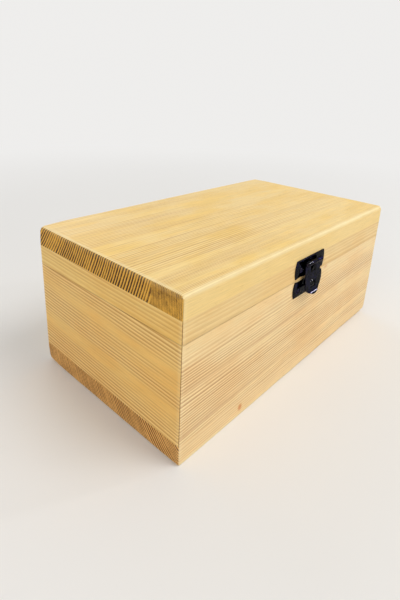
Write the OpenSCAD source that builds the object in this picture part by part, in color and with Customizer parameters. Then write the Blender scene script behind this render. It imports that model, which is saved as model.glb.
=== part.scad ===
// Hinged pine money box: mitred walls between two boards, a framed lid,
// two surface hinges at the back and a swing latch on the front.
// Millimetres. Origin at the middle of the underside, +Z up, front towards -Y.

/* [Box] */
// Outside length along X
box_w = 180; // [140:1:240]
// Outside depth along Y
box_d = 100; // [80:1:140]
// Outside height with the lid shut
box_h = 76; // [66:1:120]
// Height of the lid, top board and frame strips together
lid_h = 20; // [19:0.5:26]
// Thickness of the walls and of the lid's frame strips
wall_t = 10; // [9:0.5:14]
// Thickness of the lid's top board
top_t = 10; // [6:0.5:12]
// Thickness of the bottom board
base_t = 10; // [6:0.5:14]

/* [Worn edges] */
// Radius of the four upright corners
corner_r = 1.5; // [0.5:0.1:3]
// Radius of the lid's top edges
top_edge_r = 1.5; // [0.5:0.1:3]
// Radius of the bottom edges
bottom_edge_r = 2.4; // [0.5:0.1:4]

/* [Latch plates] */
// Length of both latch plates, at their bulged ends
latch_w = 28.2; // [26:0.2:34]
// Sheet thickness of the latch plates
plate_t = 0.5; // [0.4:0.05:0.8]
// Height of the upper plate, on the lid
upper_plate_h = 9.6; // [9.2:0.1:11]
// Height of the lower plate, on the front wall
lower_plate_h = 8.7; // [7.6:0.1:11]
// Bare lid between the seam and the upper plate
upper_plate_gap = 1.2; // [0.6:0.1:1.5]
// Bare wall between the seam and the lower plate
lower_plate_gap = 0.3; // [0.1:0.1:1]
// How far the plates' ends bulge past their corners
plate_bulge = 1; // [0.5:0.1:1.8]
// Depth of the scallops along the edges that face the seam
scallop_dip = 0.4; // [0.2:0.1:0.6]
// Distance of the scallops' cusps from the middle
cusp_x = 5.5; // [5:0.1:7]

/* [Latch lever] */
// Width of the lever
lever_w = 14.6; // [12:0.1:14.6]
// Sheet thickness of the lever
lever_t = 0.5; // [0.4:0.05:0.7]
// Height of the lever's pivot above the seam
pivot_up = 8; // [7.4:0.1:8.4]
// Gap between the lever's eyes and the upper plate
pivot_gap = 0.8; // [0.4:0.05:1]
// Straight length of the lever, from its pivot to the finger bend
lever_drop = 13.6; // [13.5:0.1:16]
// Inside radius of the finger bend, on the lever's front
bend_in_r = 3.2; // [2:0.1:4]
// Sweep of the finger bend
bend_sweep = 58; // [40:1:85]
// How far the lever's free end bows out past its corners, seen from the front
tip_rise = 3.4; // [2:0.1:3.6]
// Length of the notch between the lever's two eyes
notch_drop = 5; // [4:0.1:6.8]
// Swing of the lever at rest, out from its latched place
lever_rest_deg = 6.5; // [6.5:0.1:12]

/* [Latch hook] */
// Width of the hook
hook_w = 3.8; // [2.4:0.1:4]
// Sheet thickness of the hook
hook_t = 0.5; // [0.4:0.05:0.6]
// Distance of the hook's shank below the seam
hook_down = 2.8; // [2.6:0.1:3.2]
// Length of the hook's lip below its shank
hook_lip = 1.9; // [1.2:0.1:2]
// Room beside and above the hook in the lever's slot
slot_room = 0.6; // [0.4:0.1:0.8]
// Room under the hook's lip in the lever's slot
slot_drop_room = 0.6; // [0.5:0.1:0.8]
// Height of the window that the hook is pressed from
window_h = 2.9; // [2.4:0.1:3.2]

/* [Latch pin and knuckle] */
// Radius of the latch pin
latch_pin_r = 0.55; // [0.45:0.05:0.7]
// Radius of the latch pin's two heads
latch_head_r = 0.9; // [0.8:0.05:1.05]
// Thickness of the latch pin's two heads
latch_head_t = 0.4; // [0.2:0.05:0.6]
// Width of the upper plate's knuckle
latch_knuckle_w = 4.2; // [3.4:0.1:5]

/* [Hinges] */
// Distance of each hinge's middle from the box's end
hinge_inset = 38; // [24:1:50]
// Width of a hinge
hinge_w = 20; // [16:0.5:28]
// Height of each hinge leaf, from the pin's axis
leaf_h = 11; // [9.6:0.2:14]
// Sheet thickness of the hinge leaves
leaf_t = 0.7; // [0.5:0.05:0.9]
// Radius of the hinge pins
hinge_pin_r = 0.75; // [0.5:0.05:1]
// Width of each lid leaf's middle knuckle
hinge_knuckle_w = 6.6; // [5:0.1:8]
// Distance of the knuckles from the back of the box
hinge_standoff = 0.3; // [0.3:0.05:0.4]

/* [Nails] */
// Head radius of the latch nails
latch_nail_head_r = 1.5; // [1:0.1:1.5]
// Head height of the latch nails
latch_nail_head_h = 0.75; // [0.3:0.05:0.75]
// Shank radius of the latch nails
latch_nail_r = 0.5; // [0.4:0.05:0.7]
// Length of the latch nails behind their heads
latch_nail_len = 7; // [5:0.5:8.5]
// Distance of the latch nails from the middle
latch_nail_x = 8.9; // [8.9:0.1:9.8]
// Height of the upper nails above the upper plate's scalloped edge
upper_nail_up = 4; // [3:0.1:5]
// Distance of the lower nails below the lower plate's scalloped edge
lower_nail_down = 5.6; // [4:0.1:5.8]
// Head radius of the hinge nails
hinge_nail_head_r = 1.4; // [1:0.1:1.6]
// Head height of the hinge nails
hinge_nail_head_h = 0.55; // [0.3:0.05:0.6]
// Shank radius of the hinge nails
hinge_nail_r = 0.6; // [0.4:0.05:0.8]
// Length of the hinge nails behind their heads
hinge_nail_len = 8; // [6:0.5:8.5]
// Distance of the hinge nails from the hinge's middle
hinge_nail_x = 6.2; // [4:0.1:6.3]
// Distance of the hinge nails from the pin's axis
hinge_nail_z = 7; // [5.5:0.1:7.5]

/* [Clearances] */
// Radial clearance of a turning eye on its pin
run_clear = 0.05; // [0.02:0.01:0.09]
// Radial clearance of a pin or nail in what holds it
seat_clear = 0.02; // [0.01:0.01:0.05]
// Gap between neighbouring knuckles along a pin
knuckle_gap = 0.15; // [0.1:0.05:0.3]
// Gap between the latched lever and the hook's lip
lever_clear = 0.2; // [0.1:0.05:0.25]
// Gap between a hinge knuckle and the other leaf's notch
notch_clear = 0.3; // [0.2:0.05:0.4]
// Radial clearance of a nail in a plate or leaf
hole_clear = 0.1; // [0.05:0.05:0.2]

/* [Hidden] */
$fn = 64;

// Past every face of a piece, so that a cut goes right through it
through = 1;
pine = [0.89, 0.77, 0.54];
end_grain = [0.62, 0.46, 0.26];
dark_steel = [0.13, 0.12, 0.15];

seam_z = box_h - lid_h;
wall_h = seam_z - base_t;
strip_h = lid_h - top_t;
front_y = -box_d / 2;
back_y = box_d / 2;

upper_plate_z = seam_z + upper_plate_gap;
lower_plate_z = seam_z - lower_plate_gap;
upper_nail_z = upper_plate_z + upper_nail_up;
lower_nail_z = lower_plate_z - lower_nail_down;

latch_eye_r = latch_pin_r + run_clear;
lever_eye_r = latch_eye_r + lever_t;
latch_knuckle_bore_r = latch_pin_r + seat_clear;
latch_knuckle_r = latch_knuckle_bore_r + plate_t;
pivot_y = front_y - plate_t - pivot_gap - lever_eye_r;
pivot_z = seam_z + pivot_up;
notch_w = latch_knuckle_w + 2 * knuckle_gap;

hook_z = seam_z - hook_down;
hook_reach = pivot_gap + lever_t + lever_clear;
slot_w = hook_w + 2 * slot_room;
slot_top = hook_z + hook_t + slot_room - pivot_z;
slot_bottom = hook_z - hook_lip - slot_drop_room - pivot_z;

hinge_eye_r = hinge_pin_r + run_clear;
hinge_knuckle_r = hinge_eye_r + leaf_t;
hinge_y = back_y + hinge_standoff + hinge_knuckle_r;
hinge_x = box_w / 2 - hinge_inset;
leaf_notch_w = hinge_knuckle_w + 2 * knuckle_gap;
leaf_notch_h = hinge_knuckle_r + notch_clear;

// Radius of the arc that bulges by rise over a chord
function arc_r(chord, rise) = (chord * chord / 4 + rise * rise) / (2 * rise);

// ---- Shapes that repeat ----

// What a corner of radius r loses, the corner at the origin and the piece towards +X +Y
module corner_waste(r) {
    difference() {
        translate([-through, -through]) square(r + through);
        translate([r, r]) circle(r);
    }
}

// A rectangle centred on X and standing on Y = 0, with round lower and upper corners
module round_rect(w, h, r_low, r_high) {
    difference() {
        translate([-w / 2, 0]) square([w, h]);
        for (side = [0, 1]) mirror([side, 0]) {
            translate([-w / 2, 0]) corner_waste(r_low);
            translate([-w / 2, h]) mirror([0, 1]) corner_waste(r_high);
        }
    }
}

// The whole box as one block with its worn outer edges
module worn_block() {
    intersection() {
        linear_extrude(box_h)
            translate([0, front_y]) round_rect(box_w, box_d, corner_r, corner_r);
        translate([0, -front_y, 0]) rotate([90, 0, 0]) linear_extrude(box_d)
            round_rect(box_w, box_h, bottom_edge_r, top_edge_r);
        translate([-box_w / 2, 0, 0]) rotate([90, 0, 90]) linear_extrude(box_w)
            round_rect(box_d, box_h, bottom_edge_r, top_edge_r);
    }
}

// A full-size board of the block, between two heights
module board(z, t) {
    intersection() {
        worn_block();
        translate([-box_w / 2, front_y, z]) cube([box_w, box_d, t]);
    }
}

// A frame piece with mitred ends: its outer edge from (-length/2, 0) along X, its inside towards +Y
module mitred(length, z, h) {
    translate([0, 0, z]) linear_extrude(h) polygon([
        [-length / 2, 0], [length / 2, 0],
        [length / 2 - wall_t, wall_t], [-length / 2 + wall_t, wall_t]
    ]);
}

// A mitred frame piece on one side of the box: turn 0 is the front, 90 the right end
module frame_piece(turn, z, h) {
    along_x = turn % 180 == 0;
    intersection() {
        worn_block();
        rotate([0, 0, turn]) translate([0, along_x ? front_y : -box_w / 2, 0])
            mitred(along_x ? box_w : box_d, z, h);
    }
}

// A round bar along X, centred on X = 0
module bar(r, w) {
    rotate([0, 90, 0]) cylinder(r = r, h = w, center = true);
}

// A nail driven along +Y, its head's underside at the origin
module nail(head_r, head_h, r, len) {
    dome_r = arc_r(2 * head_r, head_h);
    rotate([-90, 0, 0]) cylinder(r = r, h = len);
    intersection() {
        translate([0, dome_r - head_h, 0]) sphere(dome_r);
        rotate([90, 0, 0]) cylinder(r = head_r, h = head_h);
    }
}

// The hole for a nail along +Y, through the face at the origin
module nail_hole(r, len) {
    translate([0, -through, 0]) rotate([-90, 0, 0]) cylinder(r = r, h = len + through);
}

// Children on both sides of X = 0, at a distance x
module both_sides(x) {
    for (side = [-1, 1]) translate([side * x, 0, 0]) children();
}

// ---- Latch ----

// Where the latch nails go: the children at both ends, at height z on the front
module latch_nail_places(z) {
    both_sides(latch_nail_x) translate([0, front_y, z]) children();
}

// Holes in the wood for the latch nails
module latch_wood_holes(z) {
    latch_nail_places(z) nail_hole(latch_nail_r + seat_clear, latch_nail_len - plate_t + seat_clear);
}

// Outline of a latch plate, its scalloped edge on Y = 0
module latch_plate_outline(h) {
    end_r = arc_r(h, plate_bulge);
    outer_chord = latch_w / 2 - cusp_x;
    difference() {
        for (side = [0, 1]) mirror([side, 0]) intersection() {
            square([latch_w / 2, h]);
            translate([latch_w / 2 - end_r, h / 2]) circle(end_r, $fn = 128);
        }
        mid_r = arc_r(2 * cusp_x, scallop_dip);
        translate([0, scallop_dip - mid_r]) circle(mid_r, $fn = 128);
        outer_r = arc_r(outer_chord, scallop_dip);
        both_sides(cusp_x + outer_chord / 2)
            translate([0, scallop_dip - outer_r]) circle(outer_r, $fn = 128);
    }
}

// A latch plate on the front, its scalloped edge at height z; up is 1 when it rises from there
module latch_plate(z, h, up) {
    translate([0, front_y, z]) rotate([90, 0, 0]) linear_extrude(plate_t)
        mirror([0, up == 1 ? 0 : 1]) latch_plate_outline(h);
}

module latch_upper_plate() color(dark_steel) {
    tab_z = pivot_z + latch_knuckle_r - plate_t;
    difference() {
        union() {
            latch_plate(upper_plate_z, upper_plate_h, 1);
            translate([0, pivot_y, pivot_z]) bar(latch_knuckle_r, latch_knuckle_w);
            translate([-latch_knuckle_w / 2, pivot_y, tab_z])
                cube([latch_knuckle_w, front_y - pivot_y, plate_t]);
        }
        translate([0, pivot_y, pivot_z]) bar(latch_knuckle_bore_r, latch_knuckle_w + 2 * through);
        latch_nail_places(upper_nail_z) nail_hole(latch_nail_r + hole_clear, through);
    }
}

module latch_pin() color(dark_steel) translate([0, pivot_y, pivot_z]) {
    pin_len = lever_w + 2 * knuckle_gap;
    bar(latch_pin_r, pin_len);
    both_sides(pin_len / 2 + latch_head_t / 2) bar(latch_head_r, latch_head_t);
}

// Side outline of the lever at X = 0: Y towards the box, the pivot at the origin
module lever_side() {
    difference() {
        union() {
            circle(lever_eye_r);
            translate([latch_eye_r, -lever_drop]) square([lever_t, lever_drop]);
        }
        circle(latch_eye_r);
    }
    translate([latch_eye_r - bend_in_r, -lever_drop]) intersection() {
        difference() {
            circle(bend_in_r + lever_t);
            circle(bend_in_r);
        }
        reach = 3 * (bend_in_r + lever_t);
        polygon([[0, 0], [reach, 0], [reach * cos(bend_sweep), -reach * sin(bend_sweep)]]);
    }
}

// Front outline of the lever, its free end bowed out, between two heights
module lever_front(bottom, top) {
    tip_arc_r = arc_r(lever_w, tip_rise);
    intersection() {
        translate([-lever_w / 2, bottom]) square([lever_w, top - bottom]);
        translate([0, bottom + tip_arc_r]) {
            circle(tip_arc_r, $fn = 128);
            translate([-lever_w / 2, tip_rise - tip_arc_r]) square([lever_w, top - bottom]);
        }
    }
}

// The lever in its latched place, hanging from the origin
module hanging_lever() {
    end_z = -lever_drop - (bend_in_r + lever_t) * sin(bend_sweep);
    difference() {
        intersection() {
            translate([-lever_w / 2, 0, 0]) rotate([90, 0, 90]) linear_extrude(lever_w) lever_side();
            translate([0, box_d / 2, 0]) rotate([90, 0, 0]) linear_extrude(box_d)
                lever_front(end_z, lever_eye_r);
        }
        translate([-notch_w / 2, -box_d / 2, -notch_drop])
            cube([notch_w, box_d, notch_drop + lever_eye_r + through]);
        translate([-slot_w / 2, -box_d / 2, slot_bottom])
            cube([slot_w, box_d, slot_top - slot_bottom]);
    }
}

module latch_lever() color(dark_steel)
    translate([0, pivot_y, pivot_z]) rotate([-lever_rest_deg, 0, 0]) hanging_lever();

// Side outline of the hook: the wall's face on X = 0, out of the wall towards +X
module hook_side() {
    lip_x = plate_t + hook_reach;
    square([lip_x, hook_t]);
    intersection() {
        translate([lip_x, 0]) circle(hook_t);
        translate([lip_x, 0]) square(hook_t);
    }
    translate([lip_x, -hook_lip]) square([hook_t, hook_lip]);
}

module latch_lower_plate() color(dark_steel) {
    difference() {
        latch_plate(lower_plate_z, lower_plate_h, 0);
        translate([-hook_w / 2, front_y - through, hook_z - window_h])
            cube([hook_w, 2 * through, window_h]);
        latch_nail_places(lower_nail_z) nail_hole(latch_nail_r + hole_clear, through);
    }
    translate([hook_w / 2, front_y, hook_z]) rotate([90, 0, -90]) linear_extrude(hook_w) hook_side();
}

module latch_nails(z) color(dark_steel) translate([0, -plate_t, 0])
    latch_nail_places(z) nail(latch_nail_head_r, latch_nail_head_h, latch_nail_r, latch_nail_len);

module latch_upper_nails() latch_nails(upper_nail_z);
module latch_lower_nails() latch_nails(lower_nail_z);

// ---- Hinges ----

// Where the hinge nails go on the back: dir is 1 on the lid and -1 on the body
module hinge_nail_places(dir) {
    both_sides(hinge_x) both_sides(hinge_nail_x)
        translate([0, back_y, seam_z + dir * hinge_nail_z]) rotate([0, 0, 180]) children();
}

// Holes in the wood for the hinge nails
module hinge_wood_holes(dir) {
    hinge_nail_places(dir) nail_hole(hinge_nail_r + seat_clear, hinge_nail_len - leaf_t + seat_clear);
}

// Knuckles and sheet of a body leaf, the pin's axis along X through the origin
module body_leaf_blank() {
    face_y = back_y - hinge_y;
    difference() {
        union() {
            translate([-hinge_w / 2, face_y, -leaf_h]) cube([hinge_w, leaf_t, leaf_h]);
            bar(hinge_knuckle_r, hinge_w);
        }
        translate([-leaf_notch_w / 2, face_y - through, -leaf_notch_h])
            cube([leaf_notch_w, box_d, leaf_notch_h + box_h]);
        bar(hinge_eye_r, hinge_w + 2 * through);
    }
}

// Knuckle and sheet of a lid leaf, the pin's axis along X through the origin
module lid_leaf_blank() {
    face_y = back_y - hinge_y;
    difference() {
        union() {
            translate([-hinge_w / 2, face_y, leaf_notch_h]) cube([hinge_w, leaf_t, leaf_h - leaf_notch_h]);
            translate([-hinge_knuckle_w / 2, face_y, 0]) cube([hinge_knuckle_w, leaf_t, leaf_h]);
            bar(hinge_knuckle_r, hinge_knuckle_w);
        }
        bar(hinge_eye_r, hinge_w + 2 * through);
    }
}

// A leaf on one hinge with its nail holes: side is -1 or 1, dir is 1 on the lid and -1 on the body
module leaf(side, dir) {
    color(dark_steel) difference() {
        translate([side * hinge_x, hinge_y, seam_z])
            if (dir == 1) lid_leaf_blank(); else body_leaf_blank();
        translate([0, leaf_t, 0]) hinge_nail_places(dir) nail_hole(hinge_nail_r + hole_clear, through);
    }
}

module hinge_pin(side) color(dark_steel)
    translate([side * hinge_x, hinge_y, seam_z]) bar(hinge_pin_r, hinge_w);

module hinge_left_body_leaf() leaf(-1, -1);
module hinge_left_lid_leaf() leaf(-1, 1);
module hinge_left_pin() hinge_pin(-1);
module hinge_right_body_leaf() leaf(1, -1);
module hinge_right_lid_leaf() leaf(1, 1);
module hinge_right_pin() hinge_pin(1);

module hinge_nails(dir) color(dark_steel) translate([0, leaf_t, 0])
    hinge_nail_places(dir) nail(hinge_nail_head_r, hinge_nail_head_h, hinge_nail_r, hinge_nail_len);

module hinge_body_nails() hinge_nails(-1);
module hinge_lid_nails() hinge_nails(1);

// ---- Wood ----

module bottom_board() color(end_grain) board(0, base_t);

module front_wall() color(pine) difference() {
    frame_piece(0, base_t, wall_h);
    latch_wood_holes(lower_nail_z);
}

module back_wall() color(pine) difference() {
    frame_piece(180, base_t, wall_h);
    hinge_wood_holes(-1);
}

module left_wall() color(pine) frame_piece(270, base_t, wall_h);
module right_wall() color(pine) frame_piece(90, base_t, wall_h);

module lid_top_board() color(end_grain) board(box_h - top_t, top_t);

module lid_front_strip() color(pine) difference() {
    frame_piece(0, seam_z, strip_h);
    latch_wood_holes(upper_nail_z);
}

module lid_back_strip() color(pine) difference() {
    frame_piece(180, seam_z, strip_h);
    hinge_wood_holes(1);
}

module lid_left_strip() color(pine) frame_piece(270, seam_z, strip_h);
module lid_right_strip() color(pine) frame_piece(90, seam_z, strip_h);

bottom_board();
front_wall();
back_wall();
left_wall();
right_wall();
lid_top_board();
lid_front_strip();
lid_back_strip();
lid_left_strip();
lid_right_strip();
latch_upper_plate();
latch_upper_nails();
latch_pin();
latch_lever();
latch_lower_plate();
latch_lower_nails();
hinge_left_body_leaf();
hinge_left_lid_leaf();
hinge_left_pin();
hinge_right_body_leaf();
hinge_right_lid_leaf();
hinge_right_pin();
hinge_body_nails();
hinge_lid_nails();
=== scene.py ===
"""Looks of the hinged pine money box: boards, swing latch, surface hinges and nails.

Sizes are in millimetres and turned into metres as each mesh is made. The box
stands at the origin on z = 0, its front with the latch towards -Y.
"""

import logging
import math
from dataclasses import dataclass, field
from enum import Enum
from typing import Callable, Iterable, Sequence, Union

import bmesh
import bpy
from mathutils import Matrix, Vector, noise


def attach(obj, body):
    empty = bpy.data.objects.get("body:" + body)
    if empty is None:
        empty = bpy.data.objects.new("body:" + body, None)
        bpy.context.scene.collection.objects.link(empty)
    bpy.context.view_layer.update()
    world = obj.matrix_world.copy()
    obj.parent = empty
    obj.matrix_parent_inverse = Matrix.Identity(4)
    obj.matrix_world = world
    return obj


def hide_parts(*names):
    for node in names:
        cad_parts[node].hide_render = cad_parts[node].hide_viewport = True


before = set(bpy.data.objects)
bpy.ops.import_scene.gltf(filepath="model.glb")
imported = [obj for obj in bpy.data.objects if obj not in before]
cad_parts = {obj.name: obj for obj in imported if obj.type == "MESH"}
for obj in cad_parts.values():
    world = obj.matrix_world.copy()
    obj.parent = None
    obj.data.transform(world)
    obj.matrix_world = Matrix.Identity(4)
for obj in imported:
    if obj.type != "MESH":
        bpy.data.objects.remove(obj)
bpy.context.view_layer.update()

LOG = logging.getLogger("money_box")

MM = 0.001
HALF_LENGTH = 90.0
HALF_DEPTH = 50.0
HEIGHT = 76.0
SEAM = 56.0
WALL = 10.0
WELD = 1e-7

Pair = tuple[float, float]
Triple = tuple[float, float, float]
Operand = Union["Value", float]
Socket = Union[int, str]


# ---------------------------------------------------------------- node maths

def maths(operation: str, turned: bool = False) -> Callable[..., "Value"]:
    """Make a method of Value that adds a Math node.

    Args:
        operation: the node's operation.
        turned: put the value last, as in 1 - value.

    Returns:
        The method, which takes any further operand.
    """
    def method(self: "Value", *others: "Operand") -> "Value":
        """Add the node on this value and the others."""
        operands = (*others, self) if turned else (self, *others)
        return self.wiring.value("ShaderNodeMath", {"operation": operation}, dict(enumerate(operands)))
    return method


class Value:
    """A number carried by a node socket; arithmetic on it adds Math nodes."""

    __add__ = __radd__ = maths("ADD")
    __sub__ = maths("SUBTRACT")
    __rsub__ = maths("SUBTRACT", turned=True)
    __mul__ = __rmul__ = maths("MULTIPLY")
    __truediv__ = maths("DIVIDE")
    __rtruediv__ = maths("DIVIDE", turned=True)
    __pow__ = maths("POWER")
    __rpow__ = maths("POWER", turned=True)
    __abs__ = maths("ABSOLUTE")
    __lt__ = maths("LESS_THAN")
    __gt__ = maths("GREATER_THAN")
    least = maths("MINIMUM")
    most = maths("MAXIMUM")
    floor = maths("FLOOR")
    fract = maths("FRACT")
    sine = maths("SINE")
    cosine = maths("COSINE")

    def __init__(self, wiring: "Wiring", socket: bpy.types.NodeSocket) -> None:
        """Wrap a socket of the tree that the wiring builds."""
        self.wiring = wiring
        self.socket = socket

    def step(self, low: float, high: float, soft: bool = True) -> "Value":
        """Ramp from 0 to 1.

        Args:
            low: where the ramp leaves 0; above high for a falling ramp.
            high: where the ramp reaches 1.
            soft: ease both ends of the ramp.

        Returns:
            The ramp as a value between 0 and 1.
        """
        kind = "SMOOTHSTEP" if soft else "LINEAR"
        if low > high:
            return 1.0 - self.step(high, low, soft)
        return self.wiring.value("ShaderNodeMapRange", {"interpolation_type": kind},
                                 {"Value": self, "From Min": low, "From Max": high})

    def band(self, middle: Operand, reach: float) -> "Value":
        """A soft bump that is 1 at the middle and 0 beyond the reach."""
        return abs(self - middle).step(reach, 0.0)


class Wiring:
    """Builds one node tree, for a material, the world or Geometry Nodes."""

    def __init__(self, tree: bpy.types.NodeTree) -> None:
        """Take the tree and clear it."""
        self.tree = tree
        tree.nodes.clear()

    def node(self, kind: str, settings: dict[str, object] | None = None,
             sockets: dict[Socket, object] | None = None) -> bpy.types.Node:
        """Add a node.

        Args:
            kind: the node's type name.
            settings: properties that are set first.
            sockets: for each input, by name or index, a number, a colour, a
                vector, a Value or a socket to link.

        Returns:
            The new node.
        """
        made = self.tree.nodes.new(kind)
        for name, setting in (settings or {}).items():
            setattr(made, name, setting)
        for key, content in (sockets or {}).items():
            if isinstance(content, Value):
                content = content.socket
            if isinstance(content, bpy.types.NodeSocket):
                self.tree.links.new(content, made.inputs[key])
            else:
                made.inputs[key].default_value = content
        return made

    def value(self, kind: str, settings: dict[str, object] | None = None,
              sockets: dict[Socket, object] | None = None, output: Socket = 0) -> Value:
        """Add a node and return one of its outputs.

        Args:
            kind: the node's type name.
            settings: properties that are set first.
            sockets: the content of its inputs.
            output: the output wanted, by name or index.

        Returns:
            The output as a Value.
        """
        return Value(self, self.node(kind, settings, sockets).outputs[output])

    def mix(self, factor: Operand, first: object, second: object, blend: str = "MIX") -> Value:
        """Blend two colours.

        Args:
            factor: 0 for the first colour alone.
            first: a colour or a Value that carries one.
            second: the same.
            blend: how the second goes over the first.

        Returns:
            The blended colour.
        """
        # The node's colours are inputs 6 and 7 and output 2.
        return self.value("ShaderNodeMix", {"data_type": "RGBA", "blend_type": blend, "clamp_factor": True},
                          {0: factor, 6: first, 7: second}, 2)

    def vector(self, x: Operand, y: Operand, z: Operand) -> Value:
        """Join three numbers into a vector."""
        return self.value("ShaderNodeCombineXYZ", None, {0: x, 1: y, 2: z})

    def parts(self, vector: Value) -> tuple[Value, Value, Value]:
        """Split a vector into its three numbers."""
        split = self.node("ShaderNodeSeparateXYZ", None, {0: vector})
        return tuple(Value(self, socket) for socket in split.outputs[:3])

    def noise(self, at: Value, scale: float, detail: float = 2.0, rough: float = 0.5,
              output: Socket = 0) -> Value:
        """Soft noise between 0 and 1.

        Args:
            at: where it is read.
            scale: its frequency.
            detail: how many finer layers it has.
            rough: strength of the finer layers.
            output: 0 for one number, "Color" for three that differ.

        Returns:
            The noise.
        """
        return self.value("ShaderNodeTexNoise", None,
                          {"Vector": at, "Scale": scale, "Detail": detail, "Roughness": rough}, output)


def shade(red: int, green: int, blue: int) -> tuple[float, float, float, float]:
    """A colour as a shader takes it.

    Args:
        red: red on the 0-255 scale of a screen.
        green: green on that scale.
        blue: blue on that scale.

    Returns:
        The linear colour with its alpha.
    """
    def linear(part: int) -> float:
        """One channel without its screen curve."""
        part = part / 255
        return part / 12.92 if part <= 0.04045 else ((part + 0.055) / 1.055) ** 2.4
    return (linear(red), linear(green), linear(blue), 1.0)


# ------------------------------------------------------------------ finishes

def started(name: str, unit: float = MM) -> tuple[bpy.types.Material, Wiring, Value, Value]:
    """Start a material.

    Args:
        name: its name.
        unit: length of one step of its coordinates, in metres.

    Returns:
        The material, its nodes, the place on the piece and the surface's normal.
    """
    made = bpy.data.materials.new(name)
    made.use_nodes = True
    wiring = Wiring(made.node_tree)
    source = wiring.node("ShaderNodeTexCoord")
    place = wiring.value("ShaderNodeMapping", None,
                         {"Vector": source.outputs["Object"], "Scale": (1 / unit,) * 3})
    return made, wiring, place, Value(wiring, source.outputs["Normal"])


class Grain(Enum):
    """The way a board's grain runs."""
    LONGWAYS = 0
    ACROSS = 1


@dataclass(frozen=True)
class Layer:
    """A layer of noise in the wood: its pitch along and across the grain, and its detail."""
    along: float
    across: float
    scale: float = 1.0
    detail: float = 3.0
    rough: float = 0.6
    shift: float = 1.0


@dataclass(frozen=True)
class Spot:
    """The place on a board that is shaded: its coordinates, and how its face lies."""
    wiring: Wiring
    place: tuple[Value, Value, Value]
    along: Value
    side: Value
    end: Value
    level: Value


@dataclass(frozen=True)
class Lamella:
    """A separate strip glued along a board's edge, with rings of its own."""
    edge: float
    ring: float
    shift: float


@dataclass(frozen=True)
class DarkRing:
    """One growth ring that stands out, through a point of the plane across the grain."""
    across: float
    up: float
    strength: float


@dataclass(frozen=True)
class Fleck:
    """A small knot or resin fleck on the front face, at a length and a height."""
    x: float
    z: float
    radii: Pair
    strength: float


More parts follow.
